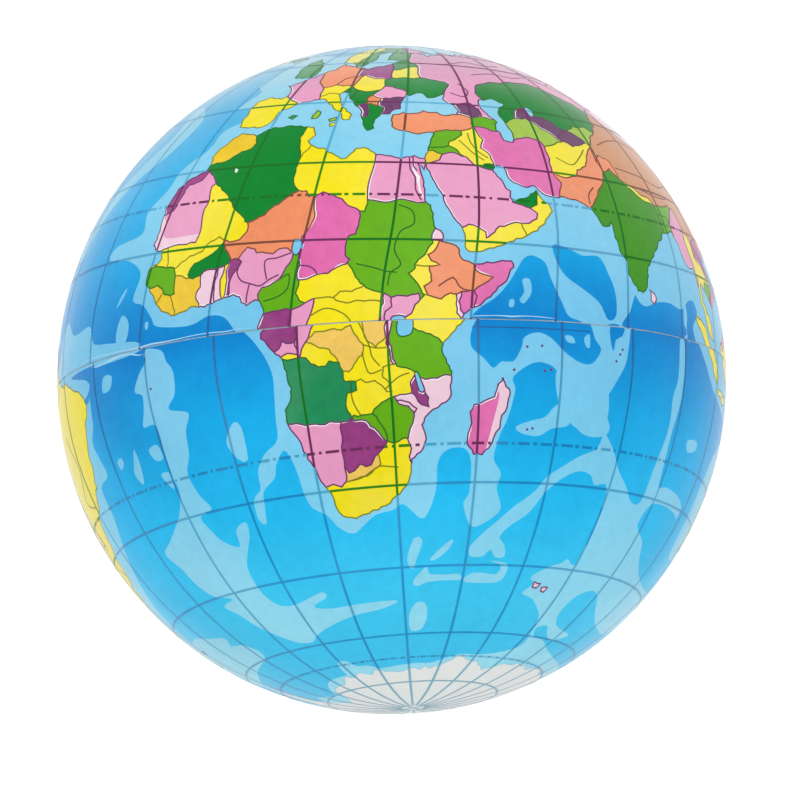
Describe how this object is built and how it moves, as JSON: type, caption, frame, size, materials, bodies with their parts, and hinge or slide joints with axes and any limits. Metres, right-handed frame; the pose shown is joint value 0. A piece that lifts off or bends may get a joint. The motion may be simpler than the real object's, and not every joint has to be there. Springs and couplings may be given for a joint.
{
  "type": "stress ball",
  "caption": "Round foam squeeze ball in two printed film half shells that meet at the equator, with a coloured world map as its pattern.",
  "frame": {"origin": "centre of the ball", "axes": "+Z is square to the equator seam, towards the northern half, -Y runs through the equator at 30 degrees east and +X through 120 degrees east"},
  "size_m": [0.076, 0.076, 0.076],
  "materials": {
    "white_foam": "matte",
    "printed_film": "satin"
  },
  "bodies": {
    "core": {"foam_core": "white_foam"},
    "north": {"north_cover": "printed_film"},
    "south": {"south_cover": "printed_film"}
  },
  "joints": [
    {"name": "squeeze_north", "type": "slide", "parent": "core", "child": "north", "axis": [0, 0, -1], "range_m": [0, 0.011], "stiffness_N_per_m": 6000, "deforming": ["north_cover", "foam_core"]},
    {"name": "squeeze_south", "type": "slide", "parent": "core", "child": "south", "axis": [0, 0, 1], "range_m": [0, 0.011], "stiffness_N_per_m": 6000, "deforming": ["south_cover"]}
  ],
  "couplings": [
    {"joint": "squeeze_south", "follows": "squeeze_north", "ratio": 1}
  ]
}
